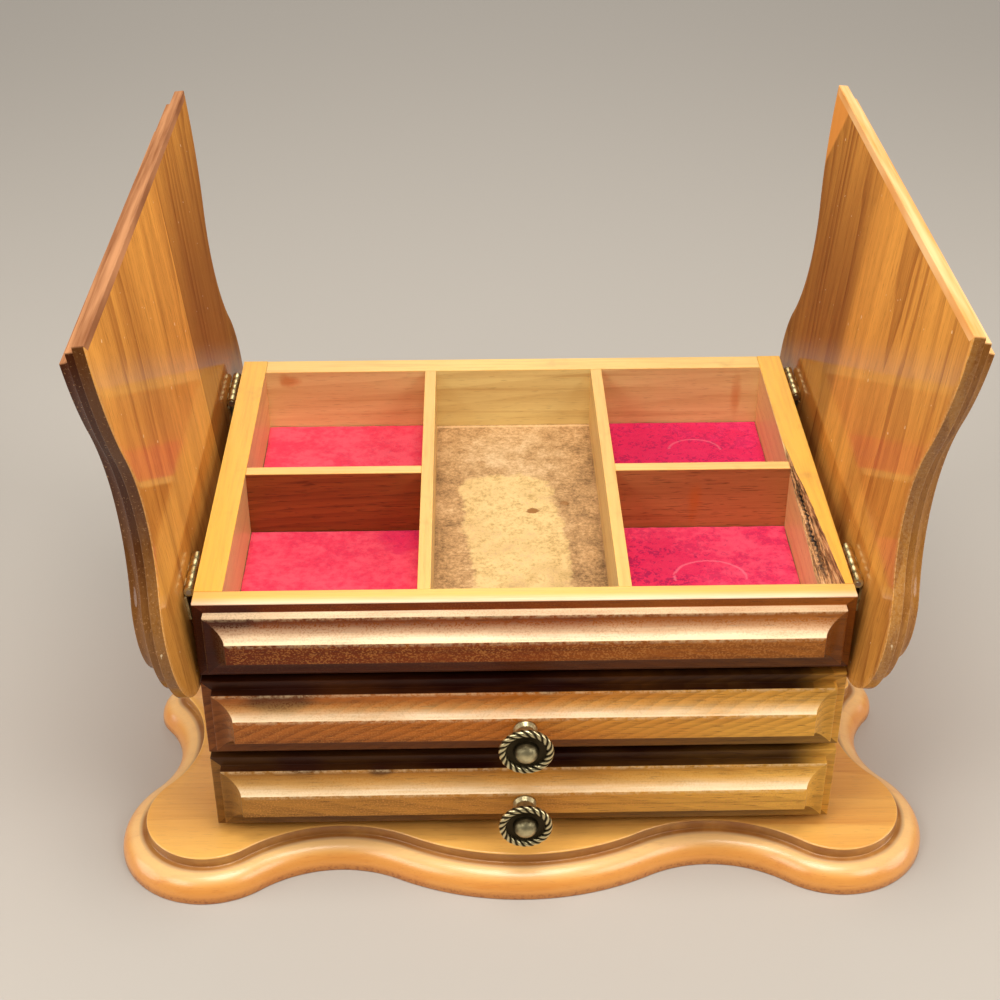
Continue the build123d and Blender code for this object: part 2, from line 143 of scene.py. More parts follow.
class Finish:
    def __init__(self, name, **even):  # even: the shader values that are the same all over
        self.material = bpy.data.materials.new(name)
        self.material.use_nodes = True
        self.tree = self.material.node_tree
        self.tree.nodes.clear()
        self.shader = self.node("ShaderNodeBsdfPrincipled", {}, {})
        self.paint(**even)
        self.output = self.node("ShaderNodeOutputMaterial", {}, {"Surface": self.shader.outputs[0]})

    def node(self, kind, settings, inputs):
        made = self.tree.nodes.new(kind)
        for name, setting in settings.items():
            if name == "stops":
                self.setStops(made.color_ramp.elements, setting)
            else:
                setattr(made, name, setting)
        for name, given in inputs.items():
            self.feed(made.inputs[name], given)
        return made

    def feed(self, socket, given):
        given = given.socket if isinstance(given, Value) else given
        if isinstance(given, bpy.types.NodeSocket):
            self.tree.links.new(given, socket)
        else:
            socket.default_value = given

    def setStops(self, elements, stops):
        while len(elements) < len(stops):
            elements.new(0.5)
        for element, (position, colour) in zip(elements, stops):
            element.position = position
            element.color = colour

    def value(self, kind, settings, inputs, output=0):
        return Value(self, self.node(kind, settings, inputs).outputs[output])

    def maths(self, operation, *numbers):
        return self.value("ShaderNodeMath", {"operation": operation}, dict(enumerate(numbers)))

    def place(self, turn=(0, 0, 0), attribute=None):
        if attribute:
            start = self.value("ShaderNodeAttribute", {"attribute_name": attribute}, {}, "Vector")
        else:
            start = self.value("ShaderNodeTexCoord", {}, {}, "Object")
        inputs = {"Vector": start, "Rotation": [math.radians(angle) for angle in turn]}
        return self.value("ShaderNodeMapping", {}, inputs)

    def mark(self, attribute):
        return self.value("ShaderNodeAttribute", {"attribute_name": attribute}, {}, "Fac")

    def axes(self, place):
        split = self.node("ShaderNodeSeparateXYZ", {}, {0: place})
        return [Value(self, output) for output in split.outputs]

    def noise(self, place, scale, detail, roughness):  # scale: features per metre, one number or three
        scale = scale if isinstance(scale, tuple) else (scale,) * 3
        scaled = self.value("ShaderNodeVectorMath", {"operation": "MULTIPLY"}, {0: place, 1: scale})
        inputs = {"Vector": scaled, "Scale": 1.0, "Detail": detail, "Roughness": roughness}
        return self.value("ShaderNodeTexNoise", {}, inputs)

    def cells(self, place, scale):
        return self.value("ShaderNodeTexVoronoi", {}, {"Vector": place, "Scale": scale}, "Distance")

    def ramp(self, value, stops):
        return self.value("ShaderNodeValToRGB", {"stops": stops}, {0: value})

    def mix(self, factor, first, second):
        settings = {"data_type": "RGBA", "clamp_factor": True}
        return self.value("ShaderNodeMix", settings, {0: factor, 6: first, 7: second}, 2)

    def moved(self, x, y, z):
        return self.value("ShaderNodeCombineXYZ", {}, {0: x, 1: y, 2: z})

    def bump(self, height, depth):
        return self.value("ShaderNodeBump", {}, {"Height": height, "Distance": depth})

    def paint(self, **inputs):  # the shader's inputs, with _ for the spaces in their names
        for name, given in inputs.items():
            self.feed(self.shader.inputs[name.replace("_", " ")], given)
        return self.material


def apart(across, up, centre, halves):  # distance from a centre: 1 on the ellipse of these half widths, in mm
    sideways = (across - centre[0] * mm) / (halves[0] * mm)
    upwards = (up - centre[1] * mm) / (halves[1] * mm)
    return (sideways**2 + upwards**2) ** 0.5


def shade(red, green, blue):  # a colour as screens write it, 0 to 255, turned into linear light
    parts = [part / 255 for part in (red, green, blue)]
    return (*[p / 12.92 if p < 0.04045 else ((p + 0.055) / 1.055) ** 2.4 for p in parts], 1.0)


# Wood

walnut = dict(
    early=shade(186, 108, 42), late=shade(104, 48, 14), pore=shade(54, 22, 6), ringWidth=0.0045, bend=0.016,
    pith=(0.05, -0.09), lean=0.12,  # lean: how far the rings cross the board as they run along it
    rings=0.35, bands=1.1, streaks=0.5, fibres=0.5, pores=0.5,  # how strongly each of them shows
    base=0.3,  # how far towards the late wood without any of them
)
# noise in the wood: features per metre along and across the grain, detail and roughness
grainNoise = dict(
    slow=(3.5, 24, 3.0, 0.55), strength=(3, 50, 2.0, 0.5), bands=(2.5, 55, 3.0, 0.6),
    streaks=(6, 300, 3.0, 0.65), fibres=(35, 1300, 3.0, 0.6), pores=(150, 2200, 1.0, 0.5),
)


def grain(finish, place, wood):
    # Ring number = distance from the pith, bent by slow noise, over the ring width. The colour goes from
    # early to late wood along each ring and drops back at its end; bands, streaks, fibres and pores are
    # noise drawn out along the grain, which runs along x.
    x, y, z = finish.axes(place)
    slow, strength, bands, streaks, fibres, pores = [
        finish.noise(place, (along, across, across), detail, roughness)
        for along, across, detail, roughness in grainNoise.values()
    ]
    across = y + x * wood["lean"] - wood["pith"][0]
    distance = (across * across + (z - wood["pith"][1]) ** 2) ** 0.5 + slow * wood["bend"]
    ring = (distance / wood["ringWidth"]).fraction()
    late = ring.eased(0.15, 0.92) * ring.eased(1.0, 0.92) * strength.eased(0.35, 0.7)
    pores = pores.eased(0.6, 0.72)
    tone = late * wood["rings"] + (bands - 0.5) * wood["bands"] + streaks.eased(0.5, 0.82) * wood["streaks"]
    tone = tone + (fibres - 0.5) * wood["fibres"] + wood["base"]
    colour = finish.mix(tone, wood["early"], wood["late"])
    colour = finish.mix(pores * wood["pores"], colour, wood["pore"])
    return colour, fibres * 0.4 - pores * 0.6


# Meshes: points worked out as whole arrays


def circle(angles):
    return np.stack([np.cos(angles), np.sin(angles)], axis=-1)


def heading(start, end):
    return math.atan2(end[1] - start[1], end[0] - start[0])


def easedLine(corners, steps=4):
    # A line of (inset, height, radius) corners; a corner with a radius becomes an arc that touches both runs:
    # centre = corner + bisector * radius / sin(half the angle), points = centre + radius * (cos, sin).
    points = []
    for index, (inset, height, radius) in enumerate(corners):
        corner = np.array([inset, height], float)
        if radius == 0:
            points.append(corner[None])
            continue
        runs = [np.array(corners[index + step][:2]) - corner for step in (-1, 1)]
        before, after = [run / np.linalg.norm(run) for run in runs]
        half = math.acos(np.clip(before @ after, -1, 1)) / 2
        bisector = (before + after) / np.linalg.norm(before + after)
        centre = corner + bisector * radius / math.sin(half)
        first, last = [heading(centre, corner + run * radius / math.tan(half)) for run in (before, after)]
        swing = (last - first + math.pi) % (2 * math.pi) - math.pi
        points.append(centre + radius * circle(first + swing * np.linspace(0, 1, steps + 1)))
    return np.concatenate(points) * mm


def hollowArc(start, end, sag, steps):
    # Points of a circle through start and end that passes sag to the right of the chord's middle.
    start, end = np.array(start), np.array(end)
    chord = np.linalg.norm(end - start)
    along = (end - start) / chord
    right = np.array([along[1], -along[0]])
    radius = (chord**2 / 4 + sag**2) / (2 * sag)
    spread = math.asin(chord / 2 / radius)
    angles = np.linspace(-spread, spread, steps + 1)[1:-1]
    centre = (start + end) / 2 - right * (radius - sag)
    arc = centre + radius * (np.sin(angles)[:, None] * along + np.cos(angles)[:, None] * right)
    return [(inset, height, 0) for inset, height in arc]


def loft(rings, closed=False):
    # Four-sided faces between each ring of points and the next. The first and the last ring are filled,
    # unless the last one passes into the first.
    index = np.arange(rings.shape[0] * rings.shape[1]).reshape(rings.shape[:2])
    if closed:
        index = np.concatenate([index, index[:1]])
    ahead = np.roll(index, -1, axis=1)
    faces = np.stack([index[:-1], ahead[:-1], ahead[1:], index[1:]], axis=-1).reshape(-1, 4).tolist()
    if not closed:
        faces += [index[0, ::-1].tolist(), index[-1].tolist()]
    return rings.reshape(-1, 3), faces


def addPiece(name, body, material, shells, stands, marks=None, crease=35):
    # shells: (points, faces) pairs that make one mesh; marks: attribute name to a value for each point;
    # crease: the angle from which an edge is sharp
    points = np.concatenate([points for points, faces in shells])
    faces, start = [], 0
    for shellPoints, shellFaces in shells:
        faces += [[start + corner for corner in face] for face in shellFaces]
        start += len(shellPoints)
    mesh = bpy.data.meshes.new(name)
    mesh.from_pydata(points.tolist(), [], faces)
    for markName, values in (marks or {}).items():
        kind, key = ("FLOAT", "value") if values.ndim == 1 else ("FLOAT_VECTOR", "vector")
        mesh.attributes.new(markName, kind, "POINT").data.foreach_set(key, values.astype(np.float32).ravel())
    mesh.polygons.foreach_set("use_smooth", [True] * len(faces))
    mesh.set_sharp_from_angle(angle=math.radians(crease))
    mesh.update()
    piece = bpy.data.objects.new(name, mesh)
    bpy.context.scene.collection.objects.link(piece)
    mesh.materials.append(material)
    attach(piece, body)
    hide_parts(*stands)
    return piece


def ringMarks(around, **marks):
    # Marks with one value for each ring, repeated for all its points.
    return {mark: np.repeat(values, around) for mark, values in marks.items()}


def dressNode(name, material, bevel=0.0):
    # A board that stays as it was built: its loose triangles are welded, then its edges eased.
    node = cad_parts[name]
    node.data.materials.clear()
    node.data.materials.append(material)
    if bevel:
        node.modifiers.new("weld", "WELD").merge_threshold = 1e-6
        ease = node.modifiers.new("eased edges", "BEVEL")
        ease.width = bevel
        ease.segments = 2
        ease.limit_method = "ANGLE"
        ease.angle_limit = math.radians(40)


latticeCells = 96  # along each side; beyond them the noise repeats


def lattice(across, along, seed):
    # Smooth noise from 0 to 1: random values on a square lattice, blended by an S between neighbours.
    values = np.random.default_rng(seed).random((latticeCells + 1, latticeCells + 1))
    column, row = np.floor(across).astype(int), np.floor(along).astype(int)
    u, v = across - column, along - row
    u, v = u * u * (3 - 2 * u), v * v * (3 - 2 * v)
    column, row = column % latticeCells, row % latticeCells
    low = values[row, column] * (1 - u) + values[row, column + 1] * u
    high = values[row + 1, column] * (1 - u) + values[row + 1, column + 1] * u
    return low * (1 - v) + high * v


# Serpentine outline, shared by the base and the lids

outline = dict(
    halfWidth=169.5, halfDepth=119.0, bow=115.0, frontDip=54.0, lobe=38.0, sideDip=33.0, sideBow=18.0,
    sideBowInset=4.8, step=1.3,  # step: between points along the edge
)


def touching(first, firstRadius, second, secondRadius, radius):
    # Centre of a circle outside both others that touches them.
    link = second - first
    length = np.linalg.norm(link)
    along = ((firstRadius + radius) ** 2 - (secondRadius + radius) ** 2 + length**2) / (2 * length)
    across = math.sqrt((firstRadius + radius) ** 2 - along**2)
    step = link / length
    return first + step * along + np.array([step[1], -step[0]]) * across


def quarterArcs():
    # (centre, radius, first heading, turn, +1 for a bow or -1 for a dip), front middle to right middle
    o = outline
    bow = np.array([0, o["bow"] - o["halfDepth"]])
    lobe = np.array([o["halfWidth"] - o["lobe"], o["lobe"] - o["halfDepth"]])
    sideBow = np.array([o["halfWidth"] - o["sideBowInset"] - o["sideBow"], 0])
    frontDip = touching(bow, o["bow"], lobe, o["lobe"], o["frontDip"])
    sideDip = touching(lobe, o["lobe"], sideBow, o["sideBow"], o["sideDip"])
    centres = [bow, frontDip, lobe, sideDip, sideBow]
    radii = [o["bow"], o["frontDip"], o["lobe"], o["sideDip"], o["sideBow"]]
    arcs = []
    for index, (centre, radius) in enumerate(zip(centres, radii)):
        start = -math.pi / 2 if index == 0 else heading(centre, centres[index - 1])
        end = 0 if index == len(centres) - 1 else heading(centre, centres[index + 1])
        bows = index % 2 == 0
        turn = (end - start) % (2 * math.pi) if bows else -((start - end) % (2 * math.pi))
        arcs.append((centre, radius, start, turn, 1 if bows else -1))
    return arcs


def doubled(arcs, flip, turnedBy):
    # The arcs, then their mirror images walked the other way.
    images = [
        (centre * flip, radius, turnedBy - start - turn, turn, side)
        for centre, radius, start, turn, side in reversed(arcs)
    ]
    return arcs + images


def halfArcs():  # the right half, from the front middle to the back middle
    return doubled(quarterArcs(), (1, -1), 0)


def wholeArcs():
    return doubled(halfArcs(), (-1, 1), math.pi)


def edgeRings(arcs, insets, meeting=None):
    # Edge point = centre + (radius - side * inset) * (cos, sin) of its heading. Where a straight meeting edge
    # crosses the outline, the first and last arcs end where they meet it at each inset, which makes a mitre.
    parts = []
    for index, (centre, radius, start, turn, side) in enumerate(arcs):
        count = max(4, round(radius * abs(turn) / outline["step"]))
        share = np.arange(count) / count
        begin = np.full(len(insets), start)
        end = np.full(len(insets), start + turn)
        reach = radius * mm - side * insets
        if meeting is not None and index == 0:
            begin = -np.arccos((meeting + insets) / reach)
        if meeting is not None and index == len(arcs) - 1:
            end = np.arccos((meeting + insets) / reach)
            share = np.arange(count + 1) / count
        angles = begin[:, None] + (end - begin)[:, None] * share
        parts.append(centre * mm + reach[:, None, None] * circle(angles))
    return np.concatenate(parts, axis=1)


def raised(rings, heights):
    # Flat rings lifted to their heights.
    tall = np.broadcast_to(heights[:, None, None], (*rings.shape[:2], 1))
    return np.concatenate([rings, tall], axis=-1)


# Base

base = dict(
    thickness=15.0, footHeight=1.0, roundRadius=9.4, ledge=1.6, easedFoot=0.5, easedStep=0.9, easedCorner=0.5,
)
baseWood = dict(
    early=shade(252, 190, 96), late=shade(214, 128, 48), pore=shade(160, 92, 38), ringWidth=0.012, bend=0.03,
    pith=(0.3, -0.3), lean=0.05, pores=0.2, rings=0.25, bands=1.2, streaks=0.4, fibres=0.4, base=0.08,
)
baseLooks = dict(
    grime=shade(120, 56, 16), paintedHighlight=shade(255, 218, 164), shaded=shade(212, 124, 48), darkening=shade(150, 76, 28)
)


def baseProfile():
    b = base
    stepInset, ledgeLevel = b["roundRadius"] + b["ledge"], b["footHeight"] + b["roundRadius"]
    headings = np.linspace(math.pi, math.pi / 2, 15)
    turned = b["roundRadius"] * (circle(headings) + (1, 0)) + (0, b["footHeight"])
    corners = [(4, 0, 0), (0, 0, b["easedFoot"])] + [(inset, height, 0) for inset, height in turned]
    corners += [(stepInset, ledgeLevel, b["easedCorner"]), (stepInset, b["thickness"], b["easedStep"])]
    return easedLine(corners + [(stepInset + 3, b["thickness"], 0)])


def makeBase():
    profile = baseProfile()
    rings = raised(edgeRings(wholeArcs(), profile[:, 0]), profile[:, 1])
    ledgeLevel = (base["footHeight"] + base["roundRadius"]) * mm
    stepped = (profile[:, 1] > ledgeLevel - 0.2 * mm) & (profile[:, 1] < (base["thickness"] - 0.3) * mm)
    finish = Finish("base wood", Roughness=0.4, Coat_Weight=0.9, Coat_Roughness=0.24, Specular_IOR_Level=0.25)
    place = finish.place()
    colour, height = grain(finish, place, baseWood)
    # dirt with painted shade on the riser of the step
    grime = finish.mark("grime") * finish.noise(place, 60, 3.0, 0.6).eased(-0.2, 0.6)
    speckle = finish.noise(place, 700, 2.0, 0.6).eased(0.45, 0.7)
    x, y, z = finish.axes(place)
    rounded = finish.mark("rounded")
    colour = finish.mix(grime * 0.75, colour, baseLooks["grime"])
    # painted highlight along the top of the round-over, painted shade on its lower part
    colour = finish.mix(rounded * z.eased(7 * mm, 9.6 * mm) * 0.45, colour, baseLooks["paintedHighlight"])
    colour = finish.mix(rounded * z.eased(10.4 * mm, 6 * mm) * 0.6, colour, baseLooks["shaded"])
    # darker and flecked towards the foot of the round-over
    darkening = rounded * z.eased(4 * mm, 1.5 * mm) * (0.4 + speckle * 0.4)
    finish.paint(Base_Color=finish.mix(darkening, colour, baseLooks["darkening"]), Normal=finish.bump(height, 0.00008))
    marks = ringMarks(rings.shape[1], grime=stepped, rounded=profile[:, 1] < ledgeLevel - 0.05 * mm)
    addPiece("base_board", "case", finish.material, [loft(rings)], ["base_plinth"], marks)
    print("base made")


# Moulded edge that the lids and the three fronts share: inset from the edge, height above the ledge

moulding = dict(
    ledge=4.0, step=4.0, fillet=1.2, cove=7.3, sag=1.9, depth=9.7, eased=0.45, easedHollow=0.3, arcSteps=12,
    rub=0.9,  # how far from a brink it is rubbed and carries a painted highlight
)
filletEnd = moulding["ledge"] + moulding["fillet"]
fieldInset = filletEnd + moulding["cove"]  # where the raised field begins
pastBrink = fieldInset + 0.1  # a little past the brink of the field, which counts as edge


def mouldedEdge(thickness):
    # Profile from the back of a board round its edge to the field; the ledge is this far above the back.
    m = moulding
    corners = [(0, 0, m["eased"]), (m["ledge"], 0, m["easedHollow"]), (m["ledge"], m["step"], m["eased"])]
    corners += [(filletEnd, m["step"], 0)]
    corners += hollowArc((filletEnd, m["step"]), (fieldInset, m["depth"]), m["sag"], m["arcSteps"])
    corners += [(fieldInset, m["depth"], 0.3), (fieldInset + 2, m["depth"], 0)]
    corners = [(inset, height + thickness, radius) for inset, height, radius in corners]
    return easedLine([(3, 0, 0), (0, 0, 0.4)] + corners)


def rubbedAndHighlit(profile):
    # 1 on the edges that hands and cloths rub, along which a painted highlight also runs: both rims, the
    # fillet and the brink of the field.
    m = moulding
    inset, height = profile.T / mm
    brinks = [(0, height.min()), (0, 0), (m["ledge"] + m["fillet"] / 2, m["step"]), (fieldInset, m["depth"])]
    near = [np.hypot(inset - u, height - v) for u, v in brinks]
    return np.clip(1 - np.min(near, axis=0) / m["rub"], 0, 1)


# Lids

lid = dict(
    under=132.0, edge=4.3, hingeX=129.3, hingeZ=129.7, openDegrees=95.98,
    meeting=0.3,  # middle of the box to the lid's straight edge
)
lidWood = walnut | dict(
    early=shade(246, 174, 80), late=shade(148, 84, 36), pore=shade(82, 42, 18), ringWidth=0.0075, bend=0.035,
    pith=(-0.03, 0.02), lean=0.16, pores=0.35, rings=0.5, bands=1.0, streaks=0.36, fibres=0.6, base=0.22,
)
# boards of each lid from the front: where each ends, how far it is towards the dark wood, and its own shift
lidBoards = {
    "right": [(-60, 0.22, 0.0), (21.7, 0.08, 0.31), (130, 0.62, 0.57)],
    "left": [(-30, 0.26, 0.83), (4, 0.16, 0.47), (28, 0.0, 0.12), (130, 0.7, 0.95)],
}
boardEdges = {"right": 4.0, "left": 0.4}  # half the width over which one board's tone passes into the next
sapwood = dict(colour=shade(240, 158, 74), start=(1, 90), end=(37, 114))  # pale corner of the right lid
edgeStainAndShade = {"right": 0.5, "left": 0.97}  # how dark the moulded edge is: dark stain, and on the left lid painted shade as well
meetingEdges = {
    "right": dict(pale=shade(250, 206, 146), deep=shade(232, 160, 84)),
    "left": dict(pale=shade(200, 142, 98), deep=shade(138, 86, 54)),
}
lidLooks = dict(
    dark=shade(116, 60, 28), stain=shade(70, 28, 12), rubbedAndHighlit=shade(236, 190, 130), fuzz=shade(224, 170, 112),
    nicks=shade(250, 226, 180),
)


def openPoints(points, side):
    # Turned about the hinge pin to where the lid stands open, as the right lid, then mirrored for the left.
    cosine, sine = circle(math.radians(lid["openDegrees"]))
    turn = [[cosine, 0, -sine], [0, 1, 0], [sine, 0, cosine]]
    pin = np.array([lid["hingeX"], 0, lid["hingeZ"]]) * mm
    return ((points - pin) @ turn + pin) * [1 if side == "right" else -1, 1, 1]


def lidFinish(side):
    finish = Finish(f"lid wood {side}", Coat_Roughness=0.1, Specular_IOR_Level=0.0)
    laid = finish.place(attribute="laid")  # the lid as it lies when closed: x from the middle, y to the back
    x, y, z = finish.axes(laid)
    boards = lidBoards[side]
    tone, shift = boards[0][1:]
    soft = boardEdges[side] * mm
    for before, after in zip(boards, boards[1:]):
        tone = tone + y.eased(before[0] * mm - soft, before[0] * mm + soft) * (after[1] - before[1])
        shift = shift + (y > before[0] * mm) * (after[2] - before[2])
    colour, height = grain(finish, finish.moved(x + shift * 0.4, y + shift * 0.03, z), lidWood)
    colour = finish.mix(tone * x.eased(-60 * mm, 80 * mm), colour, lidLooks["dark"])
    if side == "right":  # beyond the line from start to end: (point - start) across the line's direction
        (startX, startY), (endX, endY) = sapwood["start"], sapwood["end"]
        beyond = (y - startY * mm) * (endX - startX) - (x - startX * mm) * (endY - startY)
        wander = (finish.noise(laid, 30, 2.0, 0.5) - 0.5) * 0.16
        colour = finish.mix((beyond + wander).eased(-0.03, 0.09) * 0.85, colour, sapwood["colour"])
    # rubbed wear and a painted highlight along the rims and the brinks
    rub = finish.mark("rub") * finish.noise(laid, 900, 2.0, 0.7).eased(0.35, 0.65)
    edge = finish.mark("edge")
    fuzz = finish.noise(laid, 1100, 2.0, 0.6).eased(0.6, 0.75)
    nicks = finish.noise(laid, 330, 1.0, 0.5).eased(0.78, 0.81)
    colour = finish.mix(rub * 0.5, colour, lidLooks["rubbedAndHighlit"])
    # dark stain on the moulded edge, deeper on the left lid as painted shade
    stain = edge * edgeStainAndShade[side] * (1 - x.eased(60 * mm, 140 * mm) * 0.3)
    colour = finish.mix(stain, colour, lidLooks["stain"])
    colour = finish.mix(edge * fuzz * 0.42, colour, lidLooks["fuzz"])
    colour = finish.mix(nicks * 0.7, colour, lidLooks["nicks"])
    meeting = (x - finish.mark("inset")).eased((lid["meeting"] + 0.6) * mm, (lid["meeting"] + 0.3) * mm)
    bare = meetingEdges[side]
    cut = finish.mix(finish.noise(laid, (60, 12, 260), 3.0, 0.6).eased(0.3, 0.75), bare["pale"], bare["deep"])
    colour = finish.mix(meeting, colour, cut)
    roughness = 0.34 + edge * 0.16 + meeting * 0.2
    lacquer = (x - y * 0.51).eased(62 * mm, 84 * mm) * 0.62 + 0.05  # dulled by hands towards the meeting edge
    wave = finish.noise(laid, 60, 2.0, 0.5)
    surface = finish.bump(height * 0.5 + wave * 1.2, 0.00012)
    return finish.paint(Base_Color=colour, Roughness=roughness, Coat_Weight=lacquer, Normal=surface)


def makeLid(side):
    l = lid
    profile = mouldedEdge(l["edge"])
    flat = edgeRings(halfArcs(), profile[:, 0], l["meeting"] * mm)
    closed = raised(flat, profile[:, 1] + l["under"] * mm)
    points, faces = loft(openPoints(closed, side))
    if side == "left":  # mirrored, so its faces are turned back
        faces = [face[::-1] for face in faces]
    inset, height = profile.T
    onEdge = inset < pastBrink * mm
    stained = onEdge * (height > 0.35 * mm) * np.where(inset < 0.5 * mm, 0.92, 1)
    rub = rubbedAndHighlit(profile - [0, l["edge"] * mm])
    marks = ringMarks(closed.shape[1], rub=rub, edge=stained, inset=onEdge * inset)
    marks["laid"] = closed.reshape(-1, 3)
    lidNode = f"lid_{side}"
    addPiece(f"{lidNode}_board", lidNode, lidFinish(side), [(points, faces)], [lidNode], marks)
    print("lid made:", side)


# Fronts: the fixed tray front and two drawer fronts

frontWood = walnut | dict(rings=0.3, bands=0.9, streaks=0.6, fibres=0.6, pores=0.4, base=0.2)
# colours: at the left end, in the middle and at the right end; dark: how deep the dark stain and painted
# shade are on the upper rim, below, on the left and on the right of the moulding; stained: how far in the
# upper rim's stain and painted shade reach;
# pale, ledge: how strongly the painted highlight shows on the hollow and on the step; smudges: centre x,
# centre z and half width
drawerFront = dict(sawn=False, pale=0.9, ledge=0.0, stained=4.1, sheenColour=shade(248, 200, 126))
fronts = {
    "tray": dict(
        body="case", shift=0.13, flecks=0.4, sawn=True, pale=1.1, ledge=0.7, stained=3.9,
        sheenColour=shade(252, 216, 172), dark=(0.28, 0.6, 0.75, 0.4),
        colours=[shade(112, 44, 12), shade(146, 66, 14), shade(184, 110, 38)],
        wood=frontWood | dict(lean=0.3, ringWidth=0.005), smudges=[(-112, 126, 16)],
    ),
    "upper_drawer": drawerFront | dict(
        body="upper_drawer", shift=0.52, flecks=0.35, dark=(0.95, 0.65, 0.45, 0.14),
        colours=[shade(180, 102, 44), shade(206, 116, 36), shade(246, 180, 74)],
        wood=frontWood | dict(lean=-0.5, ringWidth=0.0042, rings=0.55, bend=0.012),
        smudges=[(-97, 88, 17), (10, 91, 9)],
    ),
    "lower_drawer": drawerFront | dict(
        body="lower_drawer", shift=0.91, flecks=0.6, dark=(0.9, 0.6, 0.35, 0.14),
        colours=[shade(180, 124, 54), shade(210, 140, 54), shade(246, 182, 76)],
        wood=frontWood | dict(lean=0.2, ringWidth=0.006), smudges=[(-91, 51, 14), (-58, 49, 8)],
    ),
}
# stain: dark stain, also used as painted shade on the fronts' rims and lower and side faces
frontLooks = dict(
    late=shade(60, 20, 4), fleck=shade(214, 142, 68), stain=shade(46, 16, 8), smudge=shade(52, 22, 18),
    paintedSheen=shade(255, 230, 188), rubbedAndHighlit=shade(255, 226, 178),
    sawn=[shade(255, 224, 186), shade(246, 198, 104), shade(222, 160, 96)],  # its front, paler as a painted highlight on the eased edge; its back; its fibres
)
cornerAngles = np.concatenate([np.linspace(0, math.pi / 2, 5) + turn * math.pi / 2 for turn in range(4)])


def rectangleRings(halfWidth, halfHeight, insets, radius):
    # Rounded rectangles, one inside the other, anticlockwise: corner centre + radius * (cos, sin).
    signs = np.repeat([[1, 1], [-1, 1], [-1, -1], [1, -1]], len(cornerAngles) // 4, axis=0)
    reach = np.stack([halfWidth - insets, halfHeight - insets], axis=-1) - radius
    return reach[:, None] * signs + radius * circle(cornerAngles)


def paintedSheen(profile, ledge):
    # Painted highlight where the moulding faces up: the step, then more and more up the hollow.
    inset, height = profile.T / mm
    step = (np.abs(inset - moulding["ledge"]) < 0.35) * (height > 0.2) * ledge
    cove = np.clip((inset - filletEnd) / moulding["cove"], 0, 1) ** 2 * (inset < pastBrink)
    return np.maximum(step, cove)


def frontFinish(name, front):
    finish = Finish(name, Roughness=0.36, Coat_Weight=0.12, Coat_Roughness=0.2, Specular_IOR_Level=0.12)
    place = finish.place()
    x, y, z = finish.axes(place)
    moved = finish.moved(x + front["shift"], z, y)
    drift = finish.noise(moved, (14, 60, 60), 3.0, 0.6)
    along = x / (caseWidth * mm) + 0.5 + (drift - 0.5) * 0.5  # 0 at the left end, 1 at the right end
    early = finish.ramp(along, list(zip((0.05, 0.5, 0.95), front["colours"])))
    late = finish.mix(0.65, early, frontLooks["late"])
    colour, height = grain(finish, moved, front["wood"] | dict(early=early, late=late))
    up, side, field, edge = [finish.mark(mark) for mark in ("up", "side", "field", "rim")]
    slanted = finish.noise(finish.place((0, 38, 0)), (25, 160, 160), 2.0, 0.5).eased(0.25, 0.6)
    flecks = finish.noise(place, (1300, 1300, 1700), 1.0, 0.5).eased(0.5, 0.62) * (slanted * 0.7 + 0.3)
    colour = finish.mix(flecks * (field * 0.7 + 0.3) * front["flecks"], colour, frontLooks["fleck"])
    # painted shade with dark stain: on the upper rim, on the faces turned down and on the side faces, deeper
    # on the left
    onTop, below, onLeft, onRight = front["dark"]
    dark = edge * up.eased(0.2, 0.9) * x.eased(126 * mm, 106 * mm) * onTop + up.eased(-0.2, -0.9) * below
    dark = dark + side.eased(-0.3, -0.9) * onLeft + side.eased(0.3, 0.9) * onRight
    colour = finish.mix(dark * (1 - field) * (drift * 0.6 + 0.7), colour, frontLooks["stain"])
    for centreX, centreZ, halfWidth in front["smudges"]:
        smudge = apart(x, z, (centreX, centreZ), (halfWidth, halfWidth / 2.4)) + (drift - 0.5) * 2.4
        colour = finish.mix(smudge.eased(1.0, 0.35) * 0.7, colour, frontLooks["smudge"])
    fibres = finish.noise(moved, (30, 900, 900), 3.0, 0.7)
    # painted highlight: the upward faces of the hollow and the step made pale, strongest at the brink
    pale = finish.mark("pale") * up.eased(-0.3, 1.0) * (1.25 + (drift - 0.5) * 1.2 - fibres * 0.6)
    sheenColour = finish.mix(pale.eased(0.3, 1.0), front["sheenColour"], frontLooks["paintedSheen"])
    colour = finish.mix((pale - flecks * 0.15).above(0.0) * front["pale"], colour, sheenColour)
    # rubbed wear and a painted highlight, only on the brinks that face up
    rub = finish.mark("rub") * finish.noise(place, 500, 3.0, 0.7).eased(0.35, 0.65) * up.eased(0.2, 0.9)
    colour = finish.mix(rub * (1 - edge) * 0.6, colour, frontLooks["rubbedAndHighlit"])
    if front["sawn"]:
        ahead, behind, deep = frontLooks["sawn"]
        # the sawn top, paler towards its front as a painted highlight on the eased edge
        sawnTopAndHighlight = finish.mix(y.eased(-91 * mm, -86 * mm), ahead, behind)
        top = z.eased((rim - 0.7) * mm, (rim - 0.3) * mm)
        colour = finish.mix(top, colour, finish.mix(fibres.eased(0.4, 0.8) * 0.4, sawnTopAndHighlight, deep))
    return finish.paint(Base_Color=colour, Normal=finish.bump(height, 0.00008))


